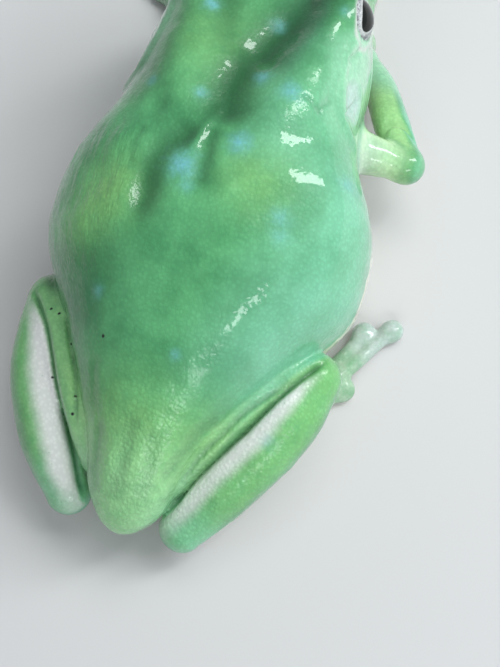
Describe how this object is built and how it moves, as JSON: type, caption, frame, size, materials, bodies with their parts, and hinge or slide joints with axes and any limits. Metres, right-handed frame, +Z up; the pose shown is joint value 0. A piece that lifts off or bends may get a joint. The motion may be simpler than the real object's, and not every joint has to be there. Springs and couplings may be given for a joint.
{
  "type": "magnificent tree frog model",
  "caption": "Life-size still model of a crouched green tree frog with swollen neck glands, pale-ringed eyes, folded hind legs and round finger and toe discs.",
  "frame": {"origin": "centre of the flat under the belly, on the floor", "axes": "+Z up, +Y towards the rump, so the head points along -Y and the animal's left side is at +X"},
  "size_m": [0.0602, 0.1113, 0.0355],
  "materials": {
    "skin": "moist, glossy, finely grained skin",
    "eye": "clear gloss"
  },
  "bodies": {
    "root": {"head": "skin", "trunk": "skin", "ear_left": "skin", "upper_arm_left": "skin", "forearm_left": "skin", "hand_left": "skin", "thigh_left": "skin", "shank_left": "skin", "foot_left": "skin", "ear_right": "skin", "upper_arm_right": "skin", "forearm_right": "skin", "hand_right": "skin", "thigh_right": "skin", "shank_right": "skin", "foot_right": "skin", "eye_left": "eye", "eye_right": "eye"}
  },
  "joints": []
}
